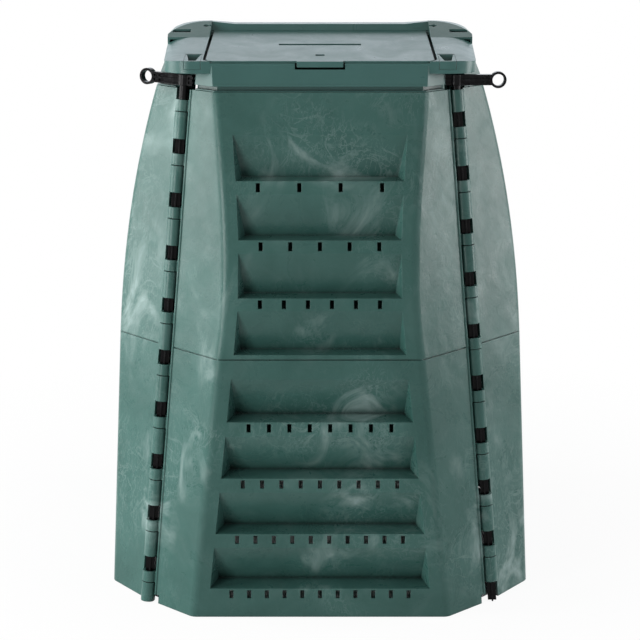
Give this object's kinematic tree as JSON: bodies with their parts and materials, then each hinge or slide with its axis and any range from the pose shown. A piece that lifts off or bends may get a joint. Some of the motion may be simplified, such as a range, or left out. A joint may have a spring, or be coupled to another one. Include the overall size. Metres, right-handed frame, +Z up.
{
  "type": "compost bin with lid",
  "caption": "Tapering square garden composter with louvred walls in two storeys, pull-out corner rods with ring handles, and a ridged lid with two hinged flaps.",
  "frame": {"origin": "on the ground at the middle of the footprint", "axes": "+Z up, +Y to the back, +X to the right seen from the front; the flaps' hinge lines run along X"},
  "size_m": [0.8, 0.8, 1.0505],
  "materials": {
    "wall_green": "satin moulded recycled plastic, dark green with pale flow marks",
    "lid_green": "smooth moulded plastic, dark green, slightly glossy",
    "catch_green": "satin green plastic",
    "rod_black": "smooth black plastic",
    "handle_black": "smooth black plastic with sink marks"
  },
  "bodies": {
    "root": {"front_wall_lower": "wall_green", "front_wall_upper": "wall_green", "back_wall_lower": "wall_green", "back_wall_upper": "wall_green", "left_wall_lower": "wall_green", "left_wall_upper": "wall_green", "right_wall_lower": "wall_green", "right_wall_upper": "wall_green", "rod_front_left": "rod_black", "rod_front_right": "rod_black", "rod_back_left": "rod_black", "rod_back_right": "rod_black"},
    "lid": {"lid_frame": "lid_green"},
    "front_flap": {"front_flap": "lid_green"},
    "back_flap": {"back_flap": "lid_green"},
    "handle_front_left": {"handle_front_left": "handle_black"},
    "handle_front_right": {"handle_front_right": "handle_black"},
    "handle_back_left": {"handle_back_left": "handle_black"},
    "handle_back_right": {"handle_back_right": "handle_black"},
    "catch_front_left": {"catch_front_left": "catch_green"},
    "catch_front_right": {"catch_front_right": "catch_green"},
    "catch_back_left": {"catch_back_left": "catch_green"},
    "catch_back_right": {"catch_back_right": "catch_green"}
  },
  "joints": [
    {"name": "lid_lift", "type": "slide", "parent": "root", "child": "lid", "axis": [0, 0, 1], "range_m": [0, 0.12]},
    {"name": "front_flap_hinge", "type": "hinge", "parent": "lid", "child": "front_flap", "pos_m": [0, -0.0314, 1.02969], "axis": [-1, 0, 0], "range_deg": [0, 95]},
    {"name": "back_flap_hinge", "type": "hinge", "parent": "lid", "child": "back_flap", "pos_m": [0, 0.0314, 1.02969], "axis": [1, 0, 0], "range_deg": [0, 95]},
    {"name": "handle_front_left_swing", "type": "hinge", "parent": "root", "child": "handle_front_left", "pos_m": [-0.24184, -0.24184, 0.9565], "axis": [0.0858, 0.0858, 0.9926], "range_deg": [-6, 116]},
    {"name": "handle_front_right_swing", "type": "hinge", "parent": "root", "child": "handle_front_right", "pos_m": [0.24184, -0.24184, 0.9565], "axis": [-0.0858, 0.0858, 0.9926], "range_deg": [-90, 30]},
    {"name": "handle_back_left_swing", "type": "hinge", "parent": "root", "child": "handle_back_left", "pos_m": [-0.24184, 0.24184, 0.9565], "axis": [0.0858, -0.0858, 0.9926], "range_deg": [0, 120]},
    {"name": "handle_back_right_swing", "type": "hinge", "parent": "root", "child": "handle_back_right", "pos_m": [0.24184, 0.24184, 0.9565], "axis": [-0.0858, -0.0858, 0.9926], "range_deg": [-122, 0]},
    {"name": "catch_front_left_press", "type": "slide", "parent": "lid", "child": "catch_front_left", "axis": [0, 1, 0], "range_m": [0, 0.0036], "stiffness_N_per_m": 300},
    {"name": "catch_front_right_press", "type": "slide", "parent": "lid", "child": "catch_front_right", "axis": [0, 1, 0], "range_m": [0, 0.0036], "stiffness_N_per_m": 300},
    {"name": "catch_back_left_press", "type": "slide", "parent": "lid", "child": "catch_back_left", "axis": [0, -1, 0], "range_m": [0, 0.0036], "stiffness_N_per_m": 300},
    {"name": "catch_back_right_press", "type": "slide", "parent": "lid", "child": "catch_back_right", "axis": [0, -1, 0], "range_m": [0, 0.0036], "stiffness_N_per_m": 300}
  ]
}
